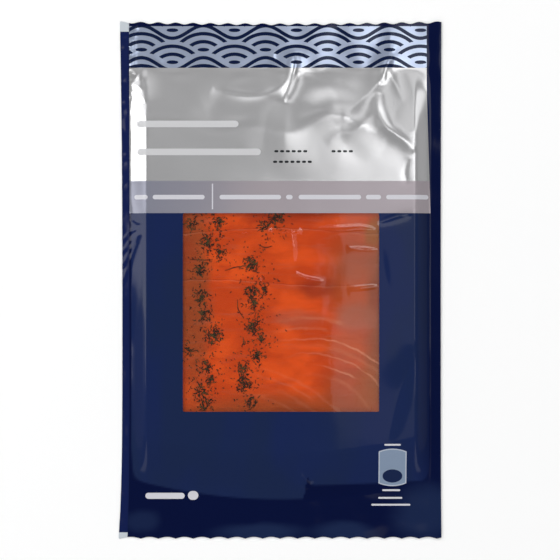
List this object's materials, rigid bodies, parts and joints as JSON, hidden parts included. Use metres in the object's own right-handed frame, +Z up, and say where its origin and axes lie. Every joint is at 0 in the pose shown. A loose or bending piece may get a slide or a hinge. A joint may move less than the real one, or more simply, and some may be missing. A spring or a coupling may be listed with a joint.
{
  "type": "pack of smoked salmon",
  "caption": "Flat heat-sealed film pack of sliced smoked salmon with dill, printed navy and silver, with a clear square window and wavy cut ends.",
  "frame": {"origin": "under the middle of the pack, on the surface that it lies on", "axes": "+Z up out of the printed front, +Y towards the top end of the pack, +X to its right as read"},
  "size_m": [0.1598, 0.2559, 0.0058],
  "materials": {
    "back_print": "glossy navy printed film with pale unprinted ends",
    "front_print": "glossy printed film, navy with a metallic silver field",
    "clear_film": "clear glossy film",
    "salmon": "moist smoked salmon with dark green dill",
    "dill": "chopped dill"
  },
  "bodies": {
    "root": {"back_film": "back_print", "front_film": "front_print", "window_film": "clear_film", "salmon_slice_1": "salmon", "salmon_slice_2": "salmon", "salmon_slice_3": "salmon"}
  },
  "joints": []
}
